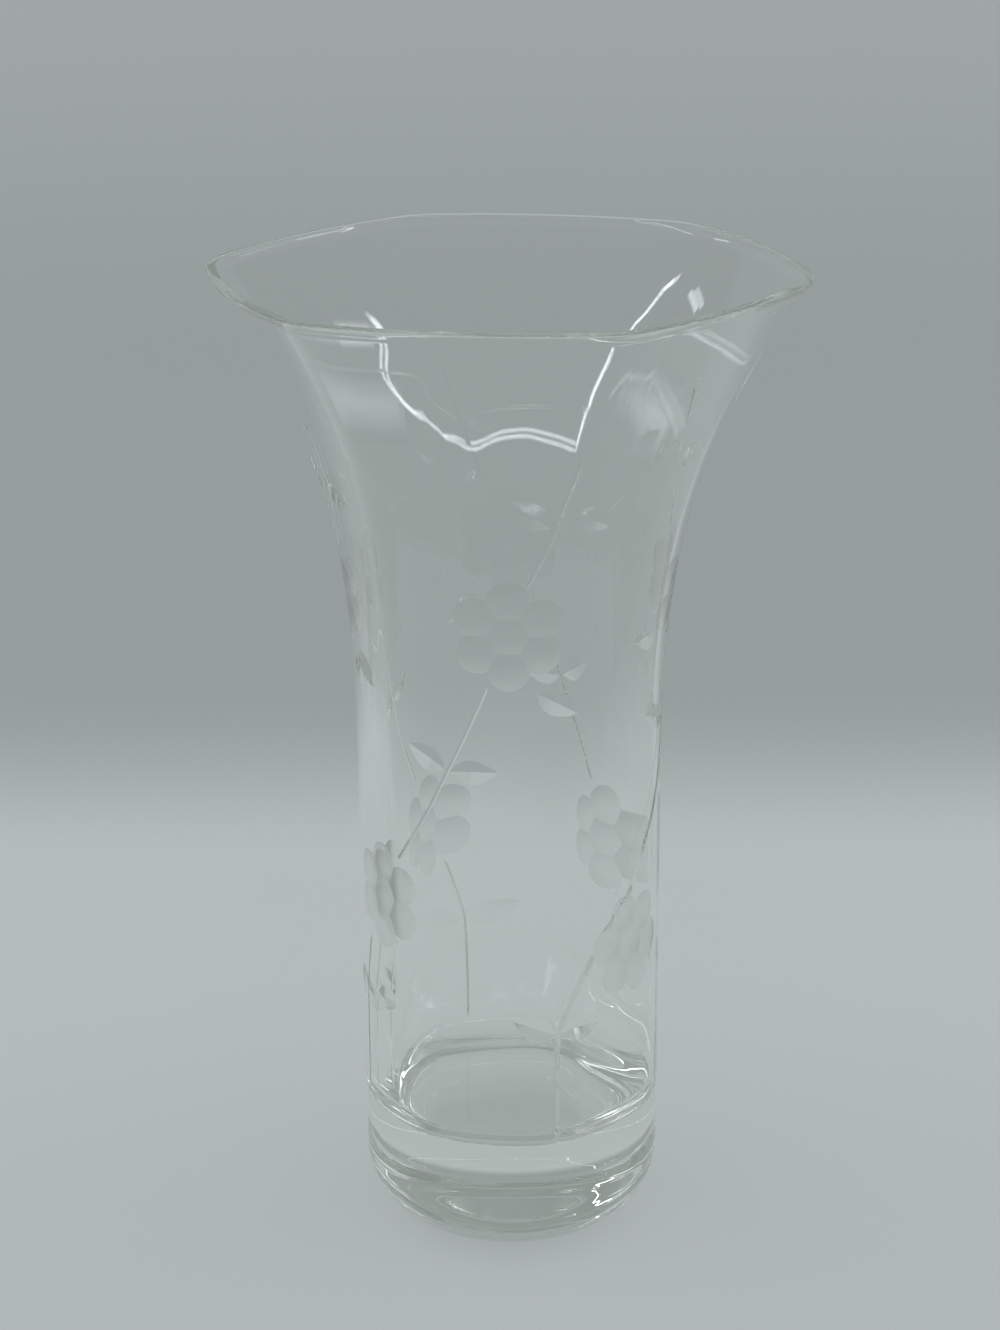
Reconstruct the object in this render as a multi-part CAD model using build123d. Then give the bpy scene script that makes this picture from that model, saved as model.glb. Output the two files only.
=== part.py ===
"""A clear glass trumpet vase: a heavy round base, a round body and a six-panelled flaring mouth.

The vase stands on its flat underside, with the origin at the middle of that face and +Z up.
One corner of the six-sided rim points along +X. All lengths are in millimetres.
"""
from build123d import *
import math
import os

# Overall sizes
height = 250.0
rim_corner_radius = 74.0
body_radius = 38.1

# The mouth leaves the body tangentially and opens faster towards the rim
flare_start_height = 120.0
flare_power = 2.75

# Its six panels fade in from nothing, and at the rim their middles lie nearer the axis than
# the ridges by a share of the rim's corner radius
panel_count = 6
panel_power = 1.4
rim_drop_share = 0.054
ridge_half_turn = 18.0

# Glass thickness, measured square to the surface, and the bevel ground on both rim edges
body_wall = 3.2
rim_wall = 2.4
rim_bevel = 0.6

# The heavy base, solid up to the floor of the hollow
floor_height = 32.0
floor_corner_radius = 8.0
floor_corner_bands = 3
heel_radius = 19.0
heel_bands = 6

# Modelling values: sections in each loft, and the overrun of a hollow past its open ends
section_count = 13
overrun = 2.0

# The base meets the body where the floor's rounded corner has turned into the upright wall
base_height = floor_height + floor_corner_radius


def rise(z):
    """Return how far up the mouth z lies, as a share of the mouth's height from 0 upwards."""
    return max(0.0, (z - flare_start_height) / (height - flare_start_height))


def corner_radius(z):
    """Return the distance from the axis to a ridge of the outer surface at height z."""
    return body_radius + (rim_corner_radius - body_radius) * rise(z) ** flare_power


def flare_slope(z):
    """Return how much the outer surface widens per unit of height."""
    widening = (rim_corner_radius - body_radius) * flare_power / (height - flare_start_height)
    return widening * rise(z) ** (flare_power - 1)


def side_drop(z):
    """Return how much nearer the axis the middle of a panel lies than its ridges at height z."""
    return rim_drop_share * rim_corner_radius * rise(z) ** panel_power


def hollow_radius(z):
    """Return the distance from the axis to a ridge of the hollow at height z.

    The wall thins towards the rim, and measured level it grows with the slope of the flare.
    """
    square_wall = body_wall + (rim_wall - body_wall) * rise(z)
    return corner_radius(z) - square_wall * math.hypot(1.0, flare_slope(z))


def polar_point(radius, angle, z):
    """Return the point at a radius and an angle in degrees about the axis, at height z."""
    return (radius * math.cos(math.radians(angle)), radius * math.sin(math.radians(angle)), z)


def arc_about(centre, radius, angle, half_turn):
    """Return the level arc about a centre that spans a half turn to each side of an angle."""
    points = []
    for turned_to in (angle - half_turn, angle, angle + half_turn):
        step = polar_point(radius, turned_to, 0.0)
        points.append((centre[0] + step[0], centre[1] + step[1], centre[2]))
    return ThreePointArc(*points)


def panel_section(ridge_distance, drop, z):
    """Return a level face with six bulging sides whose rounded ridges are tangent to them.

    Every ridge turns through the same angle, so that a section without any drop is a circle.
    The side arcs are centred beyond the axis, and the ridge arcs between axis and ridge.
    """
    half_pitch = 180.0 / panel_count
    sine = math.sin(math.radians(half_pitch))
    cosine = math.cos(math.radians(half_pitch))
    turn = math.radians(ridge_half_turn)
    back_step = drop / (1.0 - cosine - sine * math.tan(turn / 2.0))
    ridge_centre = back_step * (sine / math.tan(turn) - cosine)
    side_round = ridge_distance - drop + back_step
    edges = []
    for index in range(panel_count):
        ridge = index * 2.0 * half_pitch
        middle = ridge + half_pitch
        centre = polar_point(ridge_centre, ridge, z)
        edges.append(arc_about(centre, ridge_distance - ridge_centre, ridge, ridge_half_turn))
        centre = polar_point(-back_step, middle, z)
        edges.append(arc_about(centre, side_round, middle, half_pitch - ridge_half_turn))
    return make_face(edges)


def hollow_section(ridge_distance, drop, z):
    """Return a level face with six bulging sides that meet in faint creases inside the glass."""
    half_pitch = 180.0 / panel_count
    edges = []
    for index in range(panel_count):
        ridge = index * 2.0 * half_pitch
        start = polar_point(ridge_distance, ridge, z)
        middle = polar_point(ridge_distance - drop, ridge + half_pitch, z)
        end = polar_point(ridge_distance, ridge + 2.0 * half_pitch, z)
        edges.append(ThreePointArc(start, middle, end))
    return make_face(edges)


def lofted(low, high, radius_at, section_at):
    """Return the panelled solid between two heights whose ridges follow a rule of height.

    The sections lie so close that straight bands between them keep within a fifth of a
    millimetre of the flare's long curve.
    """
    sections = []
    for index in range(section_count):
        z = low + (high - low) * index / (section_count - 1)
        sections.append(section_at(radius_at(z), side_drop(z), z))
    return loft(sections, ruled=True)


def make_mouth():
    """Return the flaring mouth: panels from nothing at its foot to the bevelled six-sided rim."""
    outer = lofted(flare_start_height, height, corner_radius, panel_section)
    low, high = flare_start_height - overrun, height + overrun
    wall = outer - lofted(low, high, hollow_radius, hollow_section)
    rim_face = wall.faces().sort_by(Axis.Z)[-1]
    return chamfer(rim_face.edges(), rim_bevel)


def make_body():
    """Return the round, upright wall between the base and the mouth."""
    depth = flare_start_height - base_height
    ring = Circle(body_radius) - Circle(body_radius - body_wall)
    return extrude(Pos(0, 0, base_height) * ring, depth)


def quarter_round(upright_radius, top, round_radius, bands):
    """Return points down a quarter round, from an upright wall's foot to a level face.

    The round is divided into bands of equal turn, each a short straight length.
    """
    points = []
    for index in range(bands + 1):
        turned_by = math.radians(90.0 * index / bands)
        outward = upright_radius - round_radius * (1.0 - math.cos(turned_by))
        points.append((outward, top - round_radius * math.sin(turned_by)))
    return points


def make_base():
    """Return the heavy base: flat underside, rounded heel, upright side and bowl-shaped floor."""
    bowl_radius = body_radius - body_wall
    heel = quarter_round(body_radius, heel_radius, heel_radius, heel_bands)
    corner = quarter_round(bowl_radius, base_height, floor_corner_radius, floor_corner_bands)
    heel.reverse()
    side_top = (body_radius, base_height)
    outline = Polyline((0, 0), *heel, side_top, *corner, (0, floor_height), close=True)
    return revolve(Plane.XZ * make_face(outline), Axis.Z)


os.makedirs("parts", exist_ok=True)
export_step(make_base(), "parts/solid_base.step")
export_step(make_body(), "parts/round_body.step")
export_step(make_mouth(), "parts/flared_mouth.step")
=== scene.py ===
"""Trumpet vase of clear glass, wheel-cut with four sprays of flowers, over its CAD nodes.

The glass is one closed mesh: a heavy base, a round body, a six-panelled flaring mouth, the
hollow, and the sprays cut a few tenths of a millimetre into the outside. Sizes in the classes
are millimetres, angles are degrees, and meshes are written in metres in the CAD frame.
"""

import logging
import math
from dataclasses import dataclass, field
from enum import Enum

import bpy
import numpy as np
from mathutils import Matrix, Vector
from mathutils.geometry import delaunay_2d_cdt

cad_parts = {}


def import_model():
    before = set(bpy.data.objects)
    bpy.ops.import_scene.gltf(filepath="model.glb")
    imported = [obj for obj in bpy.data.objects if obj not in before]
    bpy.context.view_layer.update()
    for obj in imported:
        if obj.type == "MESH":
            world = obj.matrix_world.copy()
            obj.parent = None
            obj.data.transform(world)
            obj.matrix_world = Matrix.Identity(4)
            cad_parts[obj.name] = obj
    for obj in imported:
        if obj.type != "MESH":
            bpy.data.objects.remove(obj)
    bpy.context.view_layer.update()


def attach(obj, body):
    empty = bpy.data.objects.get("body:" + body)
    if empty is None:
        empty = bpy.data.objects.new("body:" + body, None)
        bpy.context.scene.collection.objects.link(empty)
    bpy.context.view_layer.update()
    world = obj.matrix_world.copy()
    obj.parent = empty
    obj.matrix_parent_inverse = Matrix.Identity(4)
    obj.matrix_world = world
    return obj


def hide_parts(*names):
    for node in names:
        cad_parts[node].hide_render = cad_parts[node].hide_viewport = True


LOG = logging.getLogger("trumpet_vase")
MM = 0.001

Array = np.ndarray
Values = np.ndarray | float
Socket = bpy.types.NodeSocket
Tree = bpy.types.NodeTree
Place = tuple[float, float]
Line = tuple[Place, ...]

# Half the angle between two of the mouth's six ridges, in degrees
HALF_PITCH = 30.0

# The sprays are laid out on a flat map: x runs round a cylinder of this radius, y is the height
MAP_RADIUS = 40.0

# The photograph's camera stands this far round the vase, in degrees
VIEW_TURN = 10.8


def linear(hex_colour: str) -> tuple[float, float, float, float]:
    """Turn an sRGB hex colour into linear values with alpha 1.

    Args:
        hex_colour: Six hex digits, such as "E8F0EC".

    Returns:
        Red, green, blue and alpha for a shader socket.
    """
    values = [int(hex_colour[at : at + 2], 16) / 255 for at in (0, 2, 4)]
    red, green, blue = (v / 12.92 if v <= 0.04045 else ((v + 0.055) / 1.055) ** 2.4 for v in values)
    return (red, green, blue, 1.0)


def add_node(
    tree: Tree,
    kind: str,
    settings: dict[str, object] | None = None,
    values: dict[str | int, object] | None = None,
    links: dict[str | int, Socket] | None = None,
) -> bpy.types.Node:
    """Add a node with its settings, socket values and incoming links.

    Args:
        tree: Node tree that gets the node.
        kind: Blender's node type name.
        settings: Attributes of the node itself.
        values: Default values by input socket name or number.
        links: Output sockets that feed the inputs, by input socket name or number.

    Returns:
        The new node.
    """
    node = tree.nodes.new(kind)
    for name, value in (settings or {}).items():
        setattr(node, name, value)
    for name, value in (values or {}).items():
        node.inputs[name].default_value = value
    for name, source in (links or {}).items():
        tree.links.new(source, node.inputs[name])
    return node


def fresh_material(name: str) -> tuple[bpy.types.Material, bpy.types.Node]:
    """Make a material with nothing but its output node.

    Args:
        name: Name of the material.

    Returns:
        The material and its output node.
    """
    material = bpy.data.materials.new(name)
    material.use_nodes = True
    material.node_tree.nodes.clear()
    return material, add_node(material.node_tree, "ShaderNodeOutputMaterial")


def add_object(name: str, data: bpy.types.Mesh | bpy.types.Camera) -> bpy.types.Object:
    """Make an object of a mesh or a camera, and link it to the scene.

    Args:
        name: Name of the object.
        data: The mesh or camera.

    Returns:
        The object.
    """
    made = bpy.data.objects.new(name, data)
    bpy.context.scene.collection.objects.link(made)
    return made


def add_sheet(
    name: str, points: Array, attribute: str, values: Array, material: bpy.types.Material
) -> bpy.types.Object:
    """Add a sheet of quads to the studio, with a value at each point for its material.

    Args:
        name: Name of the sheet.
        points: Rows of points in millimetres, with x, y, z last.
        attribute: Name of the values.
        values: A value for each point.
        material: Material that reads the values.

    Returns:
        The sheet.
    """
    numbers = np.arange(values.size).reshape(values.shape)
    corners = (numbers[:-1, :-1], numbers[:-1, 1:], numbers[1:, 1:], numbers[1:, :-1])
    faces = np.stack(corners, -1).reshape(-1, 4)
    mesh = bpy.data.meshes.new(name)
    mesh.from_pydata((points.reshape(-1, 3) * MM).tolist(), [], faces.tolist())
    layer = mesh.attributes.new(attribute, "FLOAT", "POINT")
    layer.data.foreach_set("value", values.ravel().astype(np.float32))
    mesh.polygons.foreach_set("use_smooth", np.ones(len(faces), bool))
    mesh.materials.append(material)
    sheet = add_object(name, mesh)
    return sheet


class Skin(Enum):
    """How a face of the glass was finished, and the roughness that the tool left on it."""

    BLOWN = 0.0
    STEM = 0.18
    LEAF = 0.14
    PETAL = 0.3
    GROUND = 0.22


@dataclass(frozen=True)
class SodaLimeGlass:
    """Soda-lime glass: what the eye gets is refraction, a hard gloss and a faint green depth.

    Fire-polished skin is mirror smooth. A wheel-cut face was smoothed with fine pumice and
    keeps a slight bloom that spreads what shines through it. The mesh holds each face's
    roughness, so that one closed body of glass has one material and its depth one tint.
    """

    name: str = "soda_lime_glass_blown_and_wheel_cut"
    attribute: str = "wheel_cut"
    surface_hex: str = "FEFFFE"
    depth_hex: str = "F7FAF6"
    depth_density: float = 5.5
    ior: float = 1.52

    def material(self) -> bpy.types.Material:
        """Build the glass with its tint in the depth of the body.

        Returns:
            The material.
        """
        material, output = fresh_material(self.name)
        tree = material.node_tree
        bloom = add_node(tree, "ShaderNodeAttribute", {"attribute_name": self.attribute})
        surface = {"Base Color": linear(self.surface_hex), "IOR": self.ior}
        surface["Transmission Weight"] = 1.0
        rough = {"Roughness": bloom.outputs["Fac"]}
        skin = add_node(tree, "ShaderNodeBsdfPrincipled", values=surface, links=rough)
        depth = {"Color": linear(self.depth_hex), "Density": self.depth_density}
        body = add_node(tree, "ShaderNodeVolumeAbsorption", values=depth)
        tree.links.new(skin.outputs["BSDF"], output.inputs["Surface"])
        tree.links.new(body.outputs["Volume"], output.inputs["Volume"])
        return material


@dataclass(frozen=True)
class Form:
    """The vase's walls as rules of height and angle, the same as the CAD source's.

    Two things are in the looks alone: the mould's faint panels in the body's hollow, and a
    taper of four tenths of a millimetre in the body, about the source's radius.
    """

    height: float = 250.0
    rim_corner: float = 74.0
    body: float = 38.25
    foot: float = 37.85
    flare_start: float = 120.0
    flare_power: float = 2.75
    panel_power: float = 1.4
    rim_drop: float = 4.0
    ridge_half_turn: float = 18.0
    body_wall: float = 3.2
    rim_wall: float = 2.4
    floor_height: float = 32.0
    floor_corner: float = 8.0
    heel: float = 19.0
    hollow_panel: float = 0.9

    def rise(self, z: Values) -> Values:
        """Share of the mouth's height that lies below z."""
        return np.clip((z - self.flare_start) / (self.height - self.flare_start), 0.0, None)

    def ridge(self, z: Values) -> Values:
        """Distance of the outer ridges from the axis: the body, plus a power of the rise.

        Args:
            z: Heights in millimetres.

        Returns:
            Distances at these heights.
        """
        upright = np.clip(z / self.flare_start, 0.0, 1.0)
        body = self.foot + (self.body - self.foot) * upright
        return body + (self.rim_corner - self.body) * self.rise(z) ** self.flare_power

    def drop(self, z: Values) -> Values:
        """How much nearer the axis the middle of a panel lies than its ridges."""
        return self.rim_drop * self.rise(z) ** self.panel_power

    def hollow_ridge(self, z: Values) -> Values:
        """Distance of the hollow's ridges: the outer ridge less the wall measured level.

        Args:
            z: Heights in millimetres.

        Returns:
            Distances at these heights.
        """
        reach = (self.rim_corner - self.body) / (self.height - self.flare_start)
        slope = reach * self.flare_power * self.rise(z) ** (self.flare_power - 1.0)
        wall = self.body_wall + (self.rim_wall - self.body_wall) * self.rise(z)
        return self.ridge(z) - wall * np.hypot(1.0, slope)

    def section(self, angle: Array, ridge: Values, drop: Values) -> Array:
        """Radius of the six-sided section.

        A side is an arc centred beyond the axis and a ridge a small arc tangent to both sides.
        With m the angle from the side's middle, a side reads
        r = sqrt(side^2 - (back sin m)^2) - back cos m, and with a the angle from the ridge, the
        ridge reads r = centre cos a + sqrt(round^2 - (centre sin a)^2).

        Args:
            angle: Angles about the axis in degrees.
            ridge: Distance of the ridges from the axis.
            drop: How much nearer the middles of the sides lie.

        Returns:
            Radius for each angle.
        """
        turn, pitch = math.radians(self.ridge_half_turn), math.radians(HALF_PITCH)
        sine, cosine = math.sin(pitch), math.cos(pitch)
        back = drop / (1.0 - cosine - sine * math.tan(turn / 2.0))
        centre = back * (sine / math.tan(turn) - cosine)
        small, side = ridge - centre, ridge - drop + back
        away = np.radians(np.abs((angle + HALF_PITCH) % (2 * HALF_PITCH) - HALF_PITCH))
        near_ridge = centre * np.cos(away) + np.sqrt(
            np.clip(small**2 - (centre * np.sin(away)) ** 2, 0.0, None)
        )
        middle = pitch - away
        on_side = np.sqrt(side**2 - (back * np.sin(middle)) ** 2) - back * np.cos(middle)
        edge = np.arctan2(small * math.sin(turn), centre + small * math.cos(turn))
        return np.where(away < edge, near_ridge, on_side)

    def outer(self, angle: Array, z: Values) -> Array:
        """Points of the outer wall, as an array with x, y, z last."""
        return around(angle, self.section(angle, self.ridge(z), self.drop(z)), z)

    def hollow_drop(self, z: Values) -> Values:
        """Panels of the hollow, which the mould left faintly in the round body as well."""
        return self.drop(z) + self.hollow_panel * (1.0 - self.rise(z)) ** 3

    def hollow(self, angle: Array, z: Values) -> Array:
        """Points of the hollow's wall, as an array with x, y, z last."""
        return around(angle, self.section(angle, self.hollow_ridge(z), self.hollow_drop(z)), z)


def around(angle: Array, radius: Values, z: Values) -> Array:
    """Points at angles, radii and heights about the axis.

    Args:
        angle: Angles in degrees.
        radius: Distances from the axis.
        z: Heights.

    Returns:
        Array whose last axis holds x, y and z.
    """
    turn = np.radians(angle)
    return np.stack(np.broadcast_arrays(radius * np.cos(turn), radius * np.sin(turn), z), -1)


def unit(vectors: Array) -> Array:
    """Scale vectors on the last axis to length 1."""
    return vectors / np.maximum(np.linalg.norm(vectors, axis=-1, keepdims=True), 1e-12)


def along_line(points: Array) -> Array:
    """Distance run along a line of points from its start to each of them."""
    return np.concatenate(([0.0], np.cumsum(np.linalg.norm(np.diff(points, axis=0), axis=1))))


def quarter_turn(steps: int) -> Array:
    """Angles in radians at the ends of equal steps of a quarter turn, 0 left out."""
    return np.linspace(0.0, 0.5 * math.pi, steps + 1)[1:]


def heading(turn: Values) -> Array:
    """Unit vectors on the flat map at angles in radians, with x, y last."""
    return np.stack((np.cos(turn), np.sin(turn)), -1)


class Cut:
    """One cut of the wheel on the flat map of the outside."""

    skin: Skin = Skin.BLOWN

    def outlines(self) -> list[Array]:
        """Polylines that have to be edges of the mesh, each an array of map points."""
        raise NotImplementedError

    def fill(self) -> Array:
        """Map points inside the cut that shape its floor."""
        return np.zeros((0, 2))

    def depth(self, points: Array) -> Array:
        """Depth at map points, negative outside the cut."""
        raise NotImplementedError

    def gradient(self, points: Array) -> Array:
        """Slope of the depth at map points along the map's two axes."""
        raise NotImplementedError


@dataclass
class Flower(Cut):
    """Seven equal round dishes in a rosette that overlap, so crisp ridges part the petals.

    Dishes with one curvature meet in straight lines, so a point belongs to the nearest dish
    centre, and its depth is depth_max (1 - (distance / dish)^2).
    """

    centre: Place
    skin: Skin = Skin.PETAL
    petals: int = 6
    spread: float = 8.9
    dish: float = 5.2
    depth_max: float = 0.42
    lean: float = 0.0
    arc_steps: int = 10
    spoke_steps: int = 4
    side_steps: int = 3
    fill_rings: tuple[tuple[float, int], ...] = ((1.5, 6), (3.0, 12))

    def facing(self) -> Array:
        """Directions from the middle to the petals in radians, the first one upwards."""
        return np.radians(90.0 + self.lean + 360.0 / self.petals * np.arange(self.petals))

    def centres(self) -> Array:
        """Centres of the middle dish and the petals."""
        return np.vstack((np.zeros((1, 2)), self.spread * heading(self.facing()))) + self.centre

    def outlines(self) -> list[Array]:
        """Scalloped outline, the ridges between petals and the middle dish's six sides.

        Returns:
            Polylines on the map.
        """
        half = math.radians(180.0 / self.petals)
        across, along = self.spread * math.sin(half), self.spread * math.cos(half)
        notch = along + math.sqrt(self.dish**2 - across**2)
        opening = math.atan2(notch * math.sin(half), notch * math.cos(half) - self.spread)
        hub = self.spread / 2 / math.cos(half)
        scallops, spokes, sides = [], [], []
        for facing, petal in zip(self.facing(), self.centres()[1:]):
            sweep = facing + np.linspace(-opening, opening, self.arc_steps + 1)
            scallops.append(petal + self.dish * heading(sweep))
            ray, after = heading(facing + half), heading(facing + 3 * half)
            steps = np.linspace(hub, notch, self.spoke_steps + 1)[:, None]
            spokes.append(self.centre + steps * ray)
            steps = np.linspace(0.0, 1.0, self.side_steps + 1)[:, None]
            sides.append(self.centre + hub * (ray * (1 - steps) + after * steps))
        return scallops + spokes + sides

    def fill(self) -> Array:
        """Rings of points and a middle in every dish, kept off its ridges.

        Returns:
            Map points.
        """
        rings = [np.zeros((1, 2))]
        for radius, count in self.fill_rings:
            rings.append(radius * heading(2 * math.pi * (np.arange(count) + 0.5) / count))
        return (self.centres()[:, None, :] + np.vstack(rings)[None]).reshape(-1, 2)

    def nearest(self, points: Array) -> tuple[Array, Array]:
        """Steps from the nearest dish centre to each point, and their squared lengths.

        Args:
            points: Map points.

        Returns:
            The steps and the squares, a row for each point.
        """
        steps = points[:, None, :] - self.centres()[None]
        square = (steps**2).sum(-1)
        pick = square.argmin(1)
        rows = np.arange(len(points))
        return steps[rows, pick], square[rows, pick]

    def depth(self, points: Array) -> Array:
        """Depth of the deepest dish."""
        return self.depth_max * (1.0 - self.nearest(points)[1] / self.dish**2)

    def gradient(self, points: Array) -> Array:
        """Slope of the deepest dish."""
        return -2.0 * self.depth_max / self.dish**2 * self.nearest(points)[0]


@dataclass
class Leaf(Cut):
    """A pointed leaf that one slanted pass of a V-edged wheel cut to each side of its rib.

    With u the share along the rib, the half width is width * sin(quarter turn * u / belly)^bow
    up to the belly and width * cos(quarter turn * share of the rest)^bow after it, and the
    depth falls evenly from the rib to the outline.
    """

    base: Place
    tip: Place
    skin: Skin = Skin.LEAF
    width: float = 3.2
    belly: float = 0.42
    bow: float = 0.9
    steepness: float = 0.2
    steps: int = 12

    def axes(self) -> tuple[Array, Array, Array, float]:
        """Base point, direction along the rib, direction across it, and the rib's length.

        Returns:
            The four, on the map.
        """
        base, tip = np.array(self.base), np.array(self.tip)
        length = float(np.linalg.norm(tip - base))
        along = (tip - base) / length
        return base, along, np.array((-along[1], along[0])), length

    def half_width(self, share: Array) -> Array:
        """Half the leaf's width at a share of its length.

        Args:
            share: Shares of the way from base to tip.

        Returns:
            Half widths, 0 at both ends.
        """
        rise = np.clip(share / self.belly, 0.0, 1.0)
        rest = np.clip((share - self.belly) / (1.0 - self.belly), 0.0, 1.0)
        wave = np.where(rise < 1.0, np.sin(0.5 * math.pi * rise), np.cos(0.5 * math.pi * rest))
        return self.width * wave**self.bow

    def outlines(self) -> list[Array]:
        """Both edges and the rib.

        Returns:
            Polylines on the map.
        """
        base, along, across, length = self.axes()
        share = np.linspace(0.0, 1.0, self.steps + 1)
        rib = base + share[:, None] * length * along
        offset = self.half_width(share)[:, None] * across
        return [rib + offset, rib - offset, rib]

    def local(self, points: Array) -> tuple[Array, Array]:
        """Share along the rib and the distance across it of map points.

        Args:
            points: Map points.

        Returns:
            Shares, and distances that are positive to the rib's left.
        """
        base, along, across, length = self.axes()
        step = points - base
        return step @ along / length, step @ across

    def depth(self, points: Array) -> Array:
        """Depth below the rib's two slopes.

        Args:
            points: Map points.

        Returns:
            Depths, negative outside the leaf.
        """
        share, off = self.local(points)
        inside = (share > 0.0) & (share < 1.0)
        value = self.steepness * (self.half_width(share) - np.abs(off))
        return np.where(inside, value, -1.0)

    def gradient(self, points: Array) -> Array:
        """Slope across the rib towards the edge that the point lies on.

        Args:
            points: Map points.

        Returns:
            Slopes along the map's two axes.
        """
        _, along, across, length = self.axes()
        share, off = self.local(points)
        nudge = 0.02
        widening = self.half_width(share + nudge) - self.half_width(share - nudge)
        rate = self.steepness * widening / (2 * nudge * length)
        side = -self.steepness * np.sign(off)
        return rate[:, None] * along + side[:, None] * across


@dataclass
class Stem(Cut):
    """A fine V-shaped line along a smooth path through map points."""

    path: Line
    skin: Skin = Skin.STEM
    half_width: float = 0.5
    steepness: float = 0.5
    spacing: float = 1.6
    samples: int = 24

    def line(self) -> Array:
        """Points along a smooth curve through the path, evenly spaced.

        Between path points b and c, with a before them and d after, the curve is the cubic
        whose slope is (c - a) / 2 at b and (d - b) / 2 at c.

        Returns:
            Map points from end to end.
        """
        knots = np.array(self.path)
        ends = np.vstack((2 * knots[:1] - knots[1:2], knots, 2 * knots[-1:] - knots[-2:-1]))
        t = np.linspace(0.0, 1.0, self.samples, endpoint=False)[:, None]
        pieces = []
        for at in range(len(knots) - 1):
            a, b, c, d = ends[at : at + 4]
            square, cube = 2 * a - 5 * b + 4 * c - d, 3 * b - a - 3 * c + d
            pieces.append(0.5 * (2 * b + (c - a) * t + square * t**2 + cube * t**3))
        curve = np.vstack((*pieces, knots[-1:]))
        run = along_line(curve)
        count = max(2, int(run[-1] / self.spacing) + 1)
        at = np.linspace(0.0, run[-1], count)
        return np.stack([np.interp(at, run, curve[:, axis]) for axis in (0, 1)], 1)

    def frames(self) -> tuple[Array, Array]:
        """Line points and the unit direction across the line at each.

        Returns:
            The points and the directions.
        """
        line = self.line()
        along = unit(np.gradient(line, axis=0))
        return line, np.stack((-along[:, 1], along[:, 0]), 1)

    def outlines(self) -> list[Array]:
        """Both edges, tapered to points at the ends, and the bottom of the V.

        Returns:
            Polylines on the map.
        """
        line, across = self.frames()
        taper = np.full((len(line), 1), self.half_width)
        taper[0] = taper[-1] = 0.0
        return [line + taper * across, line - taper * across, line]

    def local(self, points: Array) -> tuple[Array, Array]:
        """Distance across the line, signed, and the across direction, from the nearest part.

        Args:
            points: Map points.

        Returns:
            The distances and the directions.
        """
        line, across = self.frames()
        start, step = line[:-1], np.diff(line, axis=0)
        offset = points[:, None, :] - start[None]
        share = np.clip((offset * step).sum(-1) / (step**2).sum(-1), 0.0, 1.0)
        off = offset - share[..., None] * step
        gap = np.linalg.norm(off, axis=-1)
        pick = gap.argmin(1)
        rows = np.arange(len(points))
        part = share[rows, pick][:, None]
        normal = unit(across[pick] * (1.0 - part) + across[pick + 1] * part)
        side = np.sign((off[rows, pick] * normal).sum(-1))
        return gap[rows, pick] * side, normal

    def depth(self, points: Array) -> Array:
        """Depth of the V."""
        return self.steepness * (self.half_width - np.abs(self.local(points)[0]))

    def gradient(self, points: Array) -> Array:
        """Slope of the V's side."""
        off, normal = self.local(points)
        return -self.steepness * np.sign(off)[:, None] * normal


@dataclass(frozen=True)
class Spray:
    """One spray: two flowers, seven leaves and their stems, laid out on the flat map.

    Places are angle and height, counted from the spray's own angle. The four sprays were cut
    by hand, so their lower flowers sit a little unevenly. A leaf is given by base and tip.
    """

    lower_flower: Place = (-8.0, 97.0)
    upper_flower: Place = (47.8, 170.8)
    lean: float = 0.0
    stem_width: float = 0.5
    low_stem: Line = (
        (-25.0, 36.2), (-24.9, 50.0), (-24.3, 65.5), (-22.7, 72.0), (-20.6, 78.2), (-18.6, 83.5),
    )
    middle_stem: Line = ((2.0, 108.6), (15.1, 122.0), (25.0, 135.0), (33.5, 147.0), (40.6, 158.0))
    high_stem: Line = ((53.4, 182.6), (57.3, 189.0), (61.0, 196.2), (64.6, 206.2), (67.1, 215.5))
    low_leaves: tuple[Line, ...] = (((-24.9, 65.0), (-41.3, 70.0)), ((-23.7, 65.6), (-6.4, 66.8)))
    middle_leaves: tuple[Line, ...] = (
        ((24.4, 135.4), (8.8, 140.6)),
        ((25.8, 135.2), (44.0, 135.8)),
    )
    high_leaves: tuple[Line, ...] = (
        ((57.7, 156.0), (73.3, 149.8)),
        ((60.5, 198.8), (46.2, 206.8)),
        ((67.0, 203.0), (78.8, 197.5)),
    )

    @staticmethod
    def placed(place: Place) -> Place:
        """Map point of an angle and a height."""
        return (math.radians(place[0]) * MAP_RADIUS, place[1])

    def cuts(self) -> list[Cut]:
        """All cuts of the spray.

        Returns:
            Flowers first, then leaves and stems.
        """
        lower = Flower(self.placed(self.lower_flower), lean=self.lean)
        upper = Flower(self.placed(self.upper_flower))
        ribs = (*self.low_leaves, *self.middle_leaves, *self.high_leaves)
        leaves = [Leaf(self.placed(base), self.placed(tip)) for base, tip in ribs]
        stems = [
            Stem(tuple(self.placed(at) for at in stem), half_width=self.stem_width)
            for stem in (self.low_stem, self.middle_stem, self.high_stem)
        ]
        return [lower, upper, *leaves, *stems]


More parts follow.
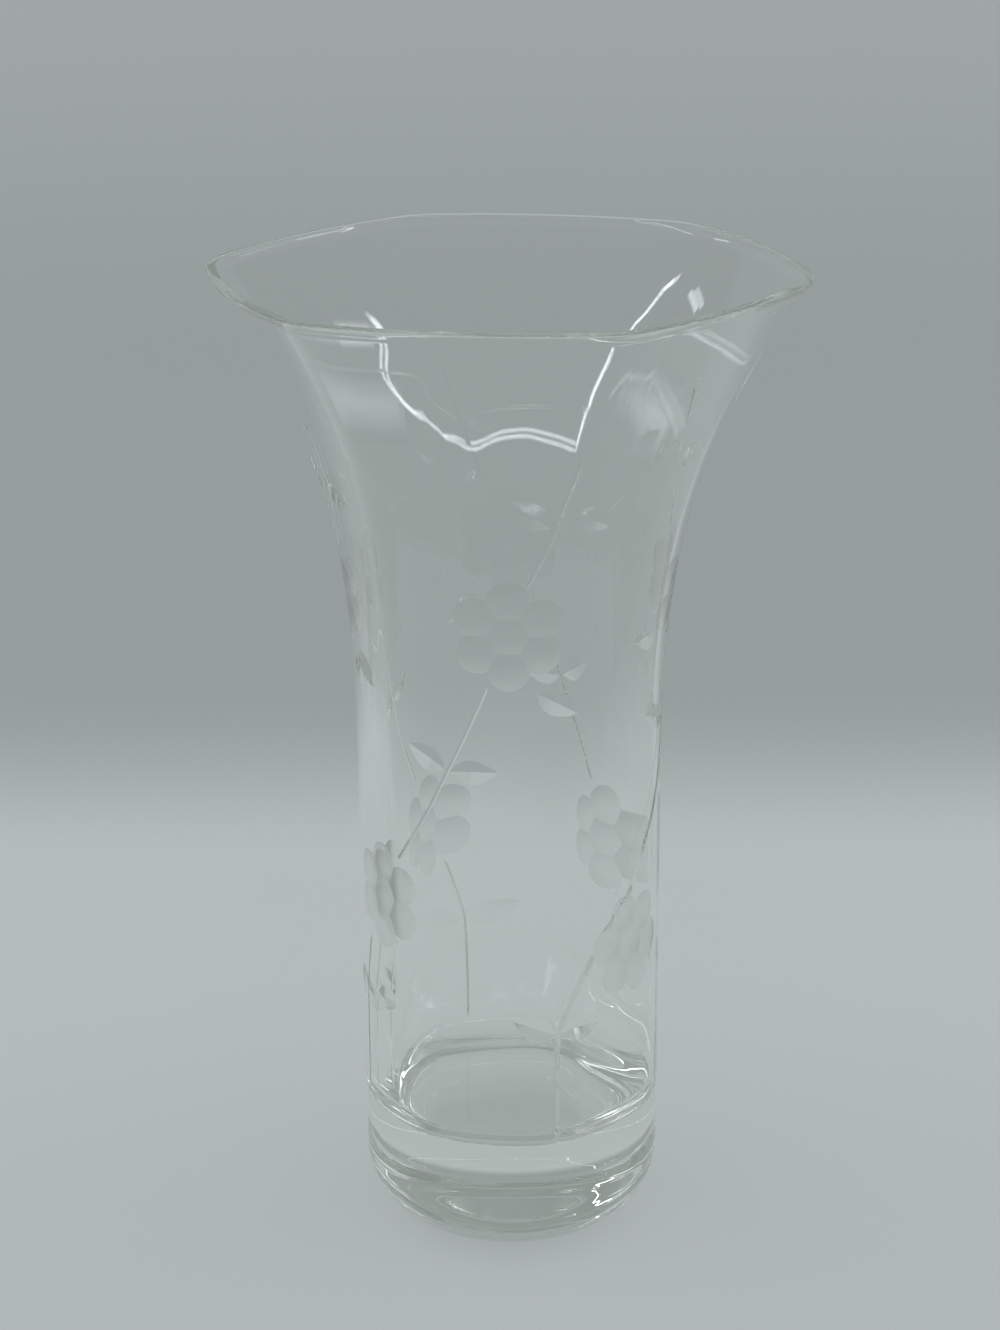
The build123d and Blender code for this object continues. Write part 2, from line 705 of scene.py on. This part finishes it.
@dataclass
class Shell:
    """Points, triangles, their skins and corner normals, gathered part by part."""

    points: list[Array] = field(default_factory=list)
    faces: list[Array] = field(default_factory=list)
    skins: list[Array] = field(default_factory=list)
    normals: list[Array] = field(default_factory=list)
    count: int = 0

    def add_points(self, points: Array) -> Array:
        """Store points and return their numbers in the same layout.

        Args:
            points: Points with x, y, z last.

        Returns:
            Their numbers in the mesh.
        """
        flat = points.reshape(-1, 3)
        self.points.append(flat)
        numbers = np.arange(self.count, self.count + len(flat))
        self.count += len(flat)
        return numbers.reshape(points.shape[:-1])

    def add_faces(self, faces: Array, skins: Values, normals: Array | None = None) -> None:
        """Store triangles with their roughness, and zero normals where Blender's are wanted.

        Args:
            faces: Point numbers, three for each triangle.
            skins: Roughness of all the triangles or of each.
            normals: Normals at the three corners of each triangle.
        """
        self.faces.append(faces)
        self.skins.append(np.broadcast_to(skins, len(faces)))
        self.normals.append(np.zeros((len(faces), 3, 3)) if normals is None else normals)

    def join_rings(self, lower: Array, upper: Array, skin: Skin = Skin.BLOWN) -> None:
        """Join two rings of as many points. The lower runs to the right seen from outside.

        Args:
            lower: Point numbers of the lower ring.
            upper: Point numbers of the upper ring.
            skin: How the band between them was finished.
        """
        a, b = lower, np.roll(lower, -1)
        c, d = np.roll(upper, -1), upper
        faces = np.concatenate((np.stack((a, b, c), 1), np.stack((a, c, d), 1)))
        self.add_faces(faces, skin.value)

    def cap(self, ring: Array, z: float, upwards: bool, skin: Skin = Skin.BLOWN) -> None:
        """Close a ring with a fan that faces up or down, to a new point on the axis.

        Args:
            ring: Point numbers of the ring.
            z: Height of the new point.
            upwards: Whether the fan faces up.
            skin: How the fan was finished.
        """
        middle = np.broadcast_to(self.add_points(np.array([(0.0, 0.0, z)])), len(ring))
        following = np.roll(ring, -1)
        order = (ring, following, middle) if upwards else (following, ring, middle)
        self.add_faces(np.stack(order, 1), skin.value)

    def mesh(self, name: str, attribute: str) -> bpy.types.Mesh:
        """Write everything into a new mesh in metres, with each face's skin as an attribute.

        Args:
            name: Name of the mesh.
            attribute: Name of the attribute.

        Returns:
            The mesh.
        """
        points = np.concatenate(self.points) * MM
        faces = np.concatenate(self.faces)
        skins = np.concatenate(self.skins)
        normals = np.concatenate(self.normals).reshape(-1, 3)
        mesh = bpy.data.meshes.new(name)
        mesh.vertices.add(len(points))
        mesh.vertices.foreach_set("co", points.ravel())
        mesh.loops.add(faces.size)
        mesh.loops.foreach_set("vertex_index", faces.ravel())
        mesh.polygons.add(len(faces))
        mesh.polygons.foreach_set("loop_start", np.arange(0, faces.size, 3))
        mesh.update(calc_edges=True)
        skin = mesh.attributes.new(attribute, "FLOAT", "FACE")
        skin.data.foreach_set("value", skins.astype(np.float32))
        mesh.polygons.foreach_set("use_smooth", np.ones(len(faces), bool))
        mesh.normals_split_custom_set(normals.tolist())
        mesh.update()
        return mesh


@dataclass
class CutVase:
    """The whole glass: outside with its sprays, rim, hollow and underside."""

    form: Form = field(default_factory=Form)
    sprays: tuple[Spray, ...] = (
        Spray(),
        Spray(
            lower_flower=(10.0, 84.5),
            lean=20.0,
            stem_width=0.9,
            low_stem=(*Spray.low_stem[:3], (-20.5, 72.0), (-15.5, 78.2), (-9.5, 85.0)),
            middle_stem=(
                (-4.0, 90.5), (7.8, 98.0), (15.6, 106.6), (28.1, 118.3),
                (36.5, 131.0), (40.5, 145.0), (42.0, 157.5),
            ),
            middle_leaves=(((38.0, 138.6), (18.0, 143.0)), ((39.4, 138.6), (57.0, 139.4))),
        ),
        Spray(lower_flower=(-5.0, 94.0)),
        Spray(lower_flower=(-8.0, 94.5)),
    )
    glass: SodaLimeGlass = SodaLimeGlass()
    first_spray: float = 232.6
    band_low: float = 33.0
    band_high: float = 218.0
    slant: float = 0.514
    slant_from: float = 36.0
    slant_start: float = -67.0
    bevel: float = 0.6
    ground_to: float = 0.1

    # Modelling values: rows and columns of the mesh, and how far its points keep from a cut
    band_columns: int = 45
    rim_columns: int = 60
    crowding: float = 1.6
    crowding_reach: float = 3.0
    grid_step: float = 2.0
    line_gap: float = 0.75
    side_gap: float = 0.4
    merge_gap: float = 1e-4
    foot_rows: int = 7
    heel_rows: int = 18
    mouth_rows: int = 16
    bevel_rows: int = 5
    hollow_rows: int = 55
    body_rows: int = 27
    bowl_rows: int = 12
    underside_shares: tuple[float, ...] = (0.75, 0.5, 0.25)
    floor_shares: tuple[float, ...] = (0.8, 0.6, 0.4, 0.2)

    @property
    def pitch(self) -> float:
        """Degrees from one spray to the next."""
        return 360.0 / len(self.sprays)

    def seam_angle(self, z: Values) -> Values:
        """Angle of the slanted line between two sprays at height z."""
        return self.slant_start + self.slant * (z - self.slant_from)

    def seam(self, points: Array) -> Array:
        """Steps to the slanted line at the points' heights: less them, a spray is a rectangle."""
        line = np.radians(self.seam_angle(points[:, 1])) * MAP_RADIUS
        return np.stack((line, np.zeros(len(points))), 1)

    def band_heights(self) -> Array:
        """Heights of the rows of the band that carries the sprays."""
        rows = int(round((self.band_high - self.band_low) / self.grid_step))
        return np.linspace(self.band_low, self.band_high, rows + 1)

    def rim_shares(self, samples: int = 2000) -> Array:
        """Shares of one spray's width for the upper columns, crowded at ridges and middles.

        With a the angle from the nearest ridge or middle of a panel, the columns' density is
        1 + crowding e^(-(a / crowding_reach)^2).

        Args:
            samples: Number of steps in which the density is added up.

        Returns:
            Shares from 0 to 1, both ends included.
        """
        start = self.seam_angle(self.band_high) + self.first_spray
        even = start + self.pitch * np.linspace(0.0, 1.0, samples, endpoint=False)
        away = (even + HALF_PITCH / 2) % HALF_PITCH - HALF_PITCH / 2
        density = 1.0 + self.crowding * np.exp(-((away / self.crowding_reach) ** 2))
        run = np.concatenate(([0.0], np.cumsum(density)))
        picks = np.linspace(0.0, run[-1], self.rim_columns + 1)
        return np.interp(picks, run, np.linspace(0.0, 1.0, len(run)))

    def triangulated(self, cuts: list[Cut]) -> tuple[Array, Array, int]:
        """Triangulate one spray's rectangle with every outline as mesh edges.

        Args:
            cuts: The cuts of one spray.

        Returns:
            Sheared map points, triangles, and how many of the points lie on the border. The
            border's points come first: left side upwards, right side upwards, then the rest
            of the lower side and of the upper side, left to right.
        """
        width = math.radians(self.pitch) * MAP_RADIUS
        heights = self.band_heights()
        columns = np.linspace(0.0, width, self.band_columns + 1)[1:-1]
        upper = self.rim_shares()[1:-1] * width
        low, high = self.band_low, self.band_high
        sides = ((0.0, heights), (width, heights), (columns, low), (upper, high))
        border = np.vstack([np.stack(np.broadcast_arrays(*side), 1) for side in sides])
        lines = [line for cut in cuts for line in cut.outlines()]
        grid = np.stack(np.meshgrid(columns, heights[1:-1]), -1)
        # every second row is staggered by just under half a column
        grid[1::2, :, 0] += 0.49 * (columns[1] - columns[0])
        grid = grid[grid[..., 0] < width - self.side_gap]
        flat = grid + self.seam(grid)
        gap = np.full(len(flat), np.inf)
        for line in lines:
            gap = np.minimum(gap, np.linalg.norm(flat[:, None] - line[None], axis=-1).min(1))
        inside = np.max([cut.depth(flat) for cut in cuts], axis=0) > 0.0
        grid = grid[(gap > self.line_gap) & ~inside]
        fills = np.vstack([cut.fill() for cut in cuts])
        points = [border, grid, fills - self.seam(fills)]
        start = sum(len(part) for part in points)
        edges = []
        for line in lines:
            numbers = np.arange(start, start + len(line))
            edges.append(np.stack((numbers[:-1], numbers[1:]), 1))
            points.append(line - self.seam(line))
            start += len(line)
        every = np.vstack(points)
        vectors = [Vector(point) for point in every.tolist()]
        found = delaunay_2d_cdt(vectors, np.vstack(edges).tolist(), [], 0, self.merge_gap)
        made = np.array([tuple(point) for point in found[0]])
        faces = np.array(found[2], int)
        # border points come back in order of first use, so their numbers are looked up
        place = np.full(len(every), -1)
        for number, sources in enumerate(found[3]):
            place[sources] = number
        ahead = place[: len(border)]
        order = np.concatenate((ahead, np.setdiff1d(np.arange(len(made)), ahead)))
        return made[order], np.argsort(order)[faces], len(border)

    def tangents(self, angle: Array, z: Array, nudge: float = 0.05) -> tuple[Array, ...]:
        """Outer points with unit vectors round, up and out of the wall, by small steps.

        Args:
            angle: Angles about the axis in degrees.
            z: Heights in millimetres.
            nudge: Half the small step, in degrees and in millimetres.

        Returns:
            Points, and the three unit vectors at each.
        """
        outer = self.form.outer
        aside = unit(outer(angle + nudge, z) - outer(angle - nudge, z))
        up = unit(outer(angle, z + nudge) - outer(angle, z - nudge))
        return outer(angle, z), aside, up, unit(np.cross(aside, up))

    @staticmethod
    def slopes(
        cuts: list[Cut], flat: Array, faces: Array, inwards: float = 0.02
    ) -> tuple[Array, Array]:
        """Find which cut each triangle lies in, and how the cut slopes at its corners.

        Args:
            cuts: The cuts of one spray.
            flat: Map points.
            faces: Triangles between them.
            inwards: Share of the way to a triangle's middle at which a corner's slope is
                taken, so that a corner on a ridge gets its own side's.

        Returns:
            The cut's number for each triangle, -1 for plain wall, and the slopes of the depth.
        """
        middle = flat[faces].mean(1)
        at_middle = np.stack([cut.depth(middle) for cut in cuts])
        owner = np.where(at_middle.max(0) > 0.0, at_middle.argmax(0), -1)
        slope = np.zeros((len(faces), 3, 2))
        for number, cut in enumerate(cuts):
            mine = owner == number
            if mine.any():
                corners = flat[faces[mine]]
                pull = corners + inwards * (middle[mine][:, None] - corners)
                slope[mine] = cut.gradient(pull.reshape(-1, 2)).reshape(-1, 3, 2)
        return owner, slope

    def cut_band(self, shell: Shell) -> tuple[Array, Array]:
        """Add the band that carries the sprays.

        Args:
            shell: Gathers the mesh.

        Returns:
            Point numbers of the band's lower and upper rings.
        """
        rows = len(self.band_heights())
        left = np.arange(rows)
        right = left + rows
        lower_rest = 2 * rows + np.arange(self.band_columns - 1)
        upper_rest = 2 * rows + self.band_columns - 1 + np.arange(self.rim_columns - 1)
        parts = []
        for index, spray in enumerate(self.sprays):
            cuts = spray.cuts()
            points, faces, border = self.triangulated(cuts)
            flat = points + self.seam(points)
            depth = np.maximum(np.max([cut.depth(flat) for cut in cuts], axis=0), 0.0)
            depth[:border] = 0.0
            owner, slope = self.slopes(cuts, flat, faces)
            angle = np.degrees(flat[:, 0] / MAP_RADIUS) + self.first_spray + self.pitch * index
            here, aside, up, out = self.tangents(angle, flat[:, 1])
            keep = np.ones(len(points), bool)
            keep[right] = False
            numbers = np.empty(len(points), int)
            numbers[keep] = shell.add_points((here - depth[:, None] * out)[keep])
            shrink = (MAP_RADIUS / self.form.ridge(flat[:, 1]))[faces][..., None]
            normal = (
                out[faces] + slope[..., :1] * shrink * aside[faces] + slope[..., 1:] * up[faces]
            )
            skins = np.array([cut.skin.value for cut in cuts] + [Skin.BLOWN.value])[owner]
            parts.append((numbers, faces, skins, unit(normal)))
        # the right side of each spray is the left side of the next one
        for part, following in zip(parts, parts[1:] + parts[:1]):
            part[0][right] = following[0][left]
        for numbers, faces, skins, normal in parts:
            shell.add_faces(numbers[faces], skins, normal)
        low, high = np.append(left[0], lower_rest), np.append(left[-1], upper_rest)
        lows, highs = ([numbers[ring] for numbers, *_ in parts] for ring in (low, high))
        return np.concatenate(lows), np.concatenate(highs)

    def underside(self, shell: Shell, ring: Array) -> None:
        """Add the upright foot, the heel's quarter round and the flat disc below the band.

        Args:
            shell: Gathers the mesh.
            ring: Point numbers of the band's lower ring.
        """
        form = self.form
        start = self.seam_angle(self.band_low) + self.first_spray
        angle = start + 360.0 * np.arange(len(ring)) / len(ring)
        foot = np.linspace(self.band_low, form.heel, self.foot_rows + 1)[1:]
        rings = [form.outer(angle, z) for z in foot]
        flat = form.ridge(form.heel) - form.heel
        for turn in quarter_turn(self.heel_rows):
            z = form.heel * (1.0 - math.sin(turn))
            rings.append(around(angle, flat + form.heel * math.cos(turn), z))
        rings += [around(angle, flat * share, 0.0) for share in self.underside_shares]
        for points in rings:
            numbers = shell.add_points(points)
            ground = points[0, 2] < self.ground_to
            shell.join_rings(numbers, ring, Skin.GROUND if ground else Skin.BLOWN)
            ring = numbers
        shell.cap(ring, 0.0, upwards=False, skin=Skin.GROUND)

    def rim(self, outside: Array, inside: Array) -> list[Array]:
        """Rings over the flat rim, whose two polished edges are small quarter rounds.

        Args:
            outside: Ring where the outer wall ends, one bevel below the top.
            inside: Ring where the hollow's wall ends at the same height.

        Returns:
            The rings between these two, from the outer edge to the inner one.
        """
        across, up = unit(inside - outside), np.array((0.0, 0.0, 1.0))
        rounds = []
        for edge, inward in ((outside, across), (inside, -across)):
            turns = quarter_turn(self.bevel_rows)
            steps = self.bevel * (1.0 - np.cos(turns)), self.bevel * np.sin(turns)
            rounds.append([edge + inward * a + up * b for a, b in zip(*steps)])
        return [*rounds[0], *reversed(rounds[1])]

    def upper(self, shell: Shell, ring: Array) -> None:
        """Add the mouth above the band, the flat rim with its bevels, the hollow and its floor.

        Args:
            shell: Gathers the mesh.
            ring: Point numbers of the band's upper ring.
        """
        form = self.form
        start = self.seam_angle(self.band_high) + self.first_spray
        shares = self.rim_shares()[:-1]
        turns = [start + self.pitch * (index + shares) for index in range(len(self.sprays))]
        angle = np.concatenate(turns)
        top, seat = form.height - self.bevel, form.floor_height + form.floor_corner
        climb = np.linspace(self.band_high, top, self.mouth_rows + 1)[1:]
        rings = [form.outer(angle, z) for z in climb]
        rings += self.rim(rings[-1], form.hollow(angle, top))
        mouth = np.linspace(top, form.flare_start, self.hollow_rows + 1)
        body = np.linspace(form.flare_start, seat, self.body_rows + 1)[1:]
        rings += [form.hollow(angle, z) for z in (*mouth, *body)]
        flat, panel = form.hollow_ridge(seat) - form.floor_corner, form.hollow_drop(seat)
        for turn in quarter_turn(self.bowl_rows):
            bowed = form.section(angle, flat + form.floor_corner * math.cos(turn), panel)
            rings.append(around(angle, bowed, seat - form.floor_corner * math.sin(turn)))
        floor = form.section(angle, flat, panel)
        rings += [around(angle, floor * share, form.floor_height) for share in self.floor_shares]
        for points in rings:
            numbers = shell.add_points(points)
            shell.join_rings(ring, numbers)
            ring = numbers
        shell.cap(ring, form.floor_height, upwards=True)

    def build(self) -> bpy.types.Object:
        """Make the dressed glass in place of the three CAD nodes.

        Returns:
            The vase.
        """
        shell = Shell()
        low_ring, high_ring = self.cut_band(shell)
        self.underside(shell, low_ring)
        self.upper(shell, high_ring)
        mesh = shell.mesh("cut_glass_vase", self.glass.attribute)
        mesh.materials.append(self.glass.material())
        vase = add_object("cut_glass_vase", mesh)
        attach(vase, "root")
        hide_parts("solid_base", "round_body", "flared_mouth")
        LOG.info("vase: %d triangles", len(mesh.polygons))
        return vase


def seen_light(tree: Tree) -> Socket:
    """Return 1 for rays that show the surroundings to the camera, in the glass or behind it.

    Args:
        tree: Node tree of the paper or of the room.

    Returns:
        Socket that is 1 for camera, glossy and transmission rays, and 0 for the rest.
    """
    path = add_node(tree, "ShaderNodeLightPath")
    total = path.outputs["Is Camera Ray"]
    for kind in ("Is Glossy Ray", "Is Transmission Ray"):
        links = {0: total, 1: path.outputs[kind]}
        larger = add_node(tree, "ShaderNodeMath", {"operation": "MAXIMUM"}, links=links)
        total = larger.outputs["Value"]
    return total


@dataclass(frozen=True)
class SeamlessPaper:
    """Matt studio paper: an even pale sweep, with painted shade where it stands up.

    Light goes through thick glass on so many ways that its shadow is faint. Most of the
    paper's brightness is therefore painted light, a glow of its colours, and the rest is what
    the lights give it.
    The colours go by the share of the way along the sheet, and ease into each other.
    """

    name: str = "seamless_paper_matt"
    # painted shade: a little darker towards the front and darker still on the upright wall; painted
    # light brightens the wall's top
    front: tuple[float, str] = (0.24, "B4BBBB")
    table: tuple[float, str] = (0.36, "B9C0C0")
    table_end: tuple[float, str] = (0.412, "B9C0C0")
    wall: tuple[float, str] = (0.475, "99A0A0")
    wall_end: tuple[float, str] = (0.56, "99A0A0")
    top: tuple[float, str] = (0.66, "A4AAAB")
    # share of the paper's brightness that is a painted glow instead of light from the lamps
    painted_glow_share: float = 0.75

    def material(self) -> bpy.types.Material:
        """Build the paper with its colour ramp along the sweep.

        Returns:
            The material.
        """
        material, output = fresh_material(self.name)
        tree = material.node_tree
        place = add_node(tree, "ShaderNodeAttribute", {"attribute_name": "sweep"})
        ramp = add_node(tree, "ShaderNodeValToRGB", links={"Fac": place.outputs["Fac"]})
        band = ramp.color_ramp
        band.interpolation = "EASE"
        for element, (at, colour) in zip(band.elements, (self.front, self.top)):
            element.position, element.color = at, linear(colour)
        for at, colour in (self.table, self.table_end, self.wall, self.wall_end):
            band.elements.new(at).color = linear(colour)
        colour = {"Color": ramp.outputs["Color"]}
        lit = add_node(tree, "ShaderNodeBsdfDiffuse", links=colour)
        # painted light: the paper glows with its colours, painted shade included, for camera,
        # glossy and transmission rays
        own = add_node(tree, "ShaderNodeEmission", links=colour)
        times = {"operation": "MULTIPLY"}
        share = add_node(tree, "ShaderNodeMath", times, {1: self.painted_glow_share}, {0: seen_light(tree)})
        blend = {"Fac": share.outputs["Value"], 1: lit.outputs["BSDF"], 2: own.outputs["Emission"]}
        paper = add_node(tree, "ShaderNodeMixShader", links=blend)
        # seen from behind the sheet isn't there, so that views from the back show the vase
        side = add_node(tree, "ShaderNodeNewGeometry").outputs["Backfacing"]
        clear = add_node(tree, "ShaderNodeBsdfTransparent").outputs["BSDF"]
        blend = {"Fac": side, 1: paper.outputs["Shader"], 2: clear}
        sheet = add_node(tree, "ShaderNodeMixShader", links=blend)
        tree.links.new(sheet.outputs["Shader"], output.inputs["Surface"])
        return material


@dataclass(frozen=True)
class StripLight:
    """A band of light hung round the room, which comes back as a line or a glow in the glass.

    The path's places are azimuth and elevation seen from the mouth, -90 at the camera. The
    core is the share of the width that shines fully: outside it the light fades to nothing.
    """

    name: str = "strip_light"
    path: Line = (
        (5.0, 31.0), (-1.0, 27.5), (0.0, 21.0), (-5.0, 17.5), (-11.0, 15.5), (-30.0, 17.5),
        (-61.0, 18.5), (-89.0, 15.5), (-98.0, 17.0), (-107.0, 17.0), (-127.0, 13.5),
        (-130.0, 25.5), (-136.0, 36.0), (-149.0, 39.5), (-169.0, 39.5), (-184.0, 38.5),
        (-201.0, 33.5),
    )
    distance: float = 875.0
    width: float = 22.0
    strength: float = 10.0
    core: float = 0.3
    colour_hex: str = "F6FAFF"
    hung_round: float = 200.0
    steps: int = 80

    def material(self) -> bpy.types.Material:
        """Build the light, which shines as strongly as the glow at each place.

        Returns:
            The material.
        """
        material, output = fresh_material(self.name)
        tree = material.node_tree
        glow = add_node(tree, "ShaderNodeAttribute", {"attribute_name": "glow"}).outputs["Fac"]
        times = {"operation": "MULTIPLY"}
        power = add_node(tree, "ShaderNodeMath", times, {1: self.strength}, {0: glow})
        colour, strength = {"Color": linear(self.colour_hex)}, {"Strength": power.outputs["Value"]}
        shine = add_node(tree, "ShaderNodeEmission", values=colour, links=strength)
        tree.links.new(shine.outputs["Emission"], output.inputs["Surface"])
        return material

    def build(self) -> bpy.types.Object:
        """Sweep a flat band along the path, facing the vase, and let it shine.

        Returns:
            The light.
        """
        knots = np.array(self.path)
        run = along_line(knots)
        at = np.linspace(0.0, run[-1], self.steps + 1)
        azimuth, elevation = (np.radians(np.interp(at, run, knots[:, k])) for k in (0, 1))
        azimuth = azimuth + math.radians(VIEW_TURN)
        level = np.cos(elevation)
        away = np.stack((np.cos(azimuth) * level, np.sin(azimuth) * level, np.sin(elevation)), 1)
        line = away * self.distance + np.array((0.0, 0.0, self.hung_round))
        aside = unit(np.cross(unit(np.gradient(line, axis=0)), away)) * self.width / 2
        across = np.array((-1.0, -self.core, self.core, 1.0))
        points = line[None] + across[:, None, None] * aside[None]
        glow = np.repeat((0.0, 1.0, 1.0, 0.0), self.steps + 1).reshape(4, -1)
        glow[:, 0] = glow[:, -1] = 0.0
        strip = add_sheet(self.name, points, "glow", glow, self.material())
        strip.visible_camera = False
        return strip


@dataclass
class Studio:
    """Sweep of pale paper, the lights that the glass reflects, and the room's even light."""

    paper: SeamlessPaper = SeamlessPaper()
    lights: tuple[StripLight, ...] = (
        StripLight(),
        StripLight("side_window", ((5.0, 28.5), (16.0, 26.5)), 582.0, 45.0, 3.2),
        StripLight("side_window_edge", ((17.0, 26.3), (33.0, 23.0)), 578.0, 38.0, 1.5),
        StripLight("small_lamp", ((141.5, 24.5), (138.5, 20.5)), 596.0, 20.0, 4.5),
        StripLight("left_glow", ((-6.0, 16.0), (12.0, 13.5), (34.0, 10.0)), 950.0, 210.0, 1.6, 0.1),
        StripLight(
            "right_glow", ((188.0, 22.0), (166.0, 13.0), (140.0, 3.0)), 950.0, 200.0, 1.6, 0.1
        ),
        StripLight(
            "doorway",
            ((-150.0, 25.0), (-177.0, 25.0), (-210.0, 14.5), (-217.0, 8.5), (-229.0, 0.5)),
            575.0, 24.0, 1.6,
        ),
    )
    wall_half: float = 320.0
    floor_half: float = 1600.0
    front: float = -1500.0
    bend_from: float = 210.0
    bend_round: float = 190.0
    wall_top: float = 1500.0
    room_hex: str = "F4F4F2"
    room_strength: float = 1.1
    seen_hex: str = "8E9491"
    gap: float = 0.3
    rows: int = 24
    columns: int = 8
    bend_share: float = 0.4
    share_length: float = 1500.0

    def sweep(self) -> bpy.types.Object:
        """Floor, quarter bend and wall in one sheet, facing the camera.

        The floor is far wider than the wall, up to its last row. The paper's colours follow
        the way along the sheet, which is bend_share where the bend begins.

        Returns:
            The sheet of paper.
        """
        floor = np.linspace(self.front, self.bend_from, self.rows)
        quarter = quarter_turn(self.rows)
        wall = np.linspace(self.bend_round, self.wall_top, self.rows)[1:]
        back = np.full(len(wall), self.bend_from + self.bend_round)
        y = np.concatenate((floor, self.bend_from + self.bend_round * np.sin(quarter), back))
        bend = self.bend_round * (1.0 - np.cos(quarter))
        z = np.concatenate((np.zeros(self.rows), bend, wall)) - self.gap
        run = along_line(np.stack((y, z), 1))
        share = np.clip(self.bend_share + (run - run[self.rows - 1]) / self.share_length, 0.0, 1.0)
        half = np.where(y < floor[-1], self.floor_half, self.wall_half)
        x = np.linspace(-1.0, 1.0, self.columns + 1)[None, :] * half[:, None]
        x, y, z, share = np.broadcast_arrays(x, y[:, None], z[:, None], share[:, None])
        sine, cosine = math.sin(math.radians(VIEW_TURN)), math.cos(math.radians(VIEW_TURN))
        points = np.stack((x * cosine - y * sine, x * sine + y * cosine, z), -1)
        return add_sheet("paper_sweep", points, "sweep", share, self.paper.material())

    def world(self) -> None:
        """Light the room evenly. What shows of the room in the glass is darker than its light."""
        world = bpy.data.worlds.new("room")
        world.use_nodes = True
        tree = world.node_tree
        tree.nodes.clear()
        output = add_node(tree, "ShaderNodeOutputWorld")
        values = {"Color": linear(self.room_hex), "Strength": self.room_strength}
        light = add_node(tree, "ShaderNodeBackground", values=values)
        seen = add_node(tree, "ShaderNodeBackground", values={"Color": linear(self.seen_hex)})
        blend = {"Fac": seen_light(tree), 1: light.outputs["Background"]}
        blend[2] = seen.outputs["Background"]
        room = add_node(tree, "ShaderNodeMixShader", links=blend)
        tree.links.new(room.outputs["Shader"], output.inputs["Surface"])
        bpy.context.scene.world = world

    def build(self) -> None:
        """Set up paper, lights and room."""
        self.sweep()
        for light in self.lights:
            light.build()
        self.world()
        LOG.info("studio: paper sweep, %d lights, room", len(self.lights))


@dataclass(frozen=True)
class Viewpoint:
    """The photograph's camera, fitted to the vase's outline."""

    sideways: float = -2.19
    distance: float = 706.3
    height: float = 398.4
    pitch: float = 19.39
    roll: float = 0.43
    focal_pixels: float = 3000.0
    frame_height: float = 1330.0
    sensor: float = 36.0
    nearest: float = 0.05
    farthest: float = 20.0

    def build(self) -> bpy.types.Object:
        """Place the camera and make it the scene's.

        Returns:
            The camera.
        """
        data = bpy.data.cameras.new("photograph_view")
        data.sensor_fit = "VERTICAL"
        data.sensor_height = self.sensor
        data.lens = self.focal_pixels / self.frame_height * self.sensor
        data.clip_start, data.clip_end = self.nearest, self.farthest
        camera = add_object("photograph_view", data)
        turned = Matrix.Rotation(math.radians(VIEW_TURN), 4, "Z")
        place = Matrix.Translation(Vector((self.sideways, -self.distance, self.height)) * MM)
        tilt = Matrix.Rotation(math.radians(90.0 - self.pitch), 4, "X")
        roll = Matrix.Rotation(math.radians(-self.roll), 4, "Z")
        camera.matrix_world = turned @ place @ tilt @ roll
        bpy.context.scene.camera = camera
        LOG.info("camera: focal length %.1f mm", data.lens)
        return camera


def let_light_through(turns: int = 256) -> None:
    """Let a ray meet the glass often enough, as light runs along inside the wall a long way.

    Args:
        turns: How many times a ray may be bent or thrown back before it ends, in black.
    """
    paths = bpy.context.scene.cycles
    paths.max_bounces = paths.transmission_bounces = paths.glossy_bounces = turns


def main() -> None:
    """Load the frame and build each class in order."""
    logging.basicConfig(level=logging.INFO, format="%(message)s")
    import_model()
    bpy.context.scene.view_settings.view_transform = "Standard"
    let_light_through()
    CutVase().build()
    Studio().build()
    Viewpoint().build()


if __name__ == "__main__":
    main()
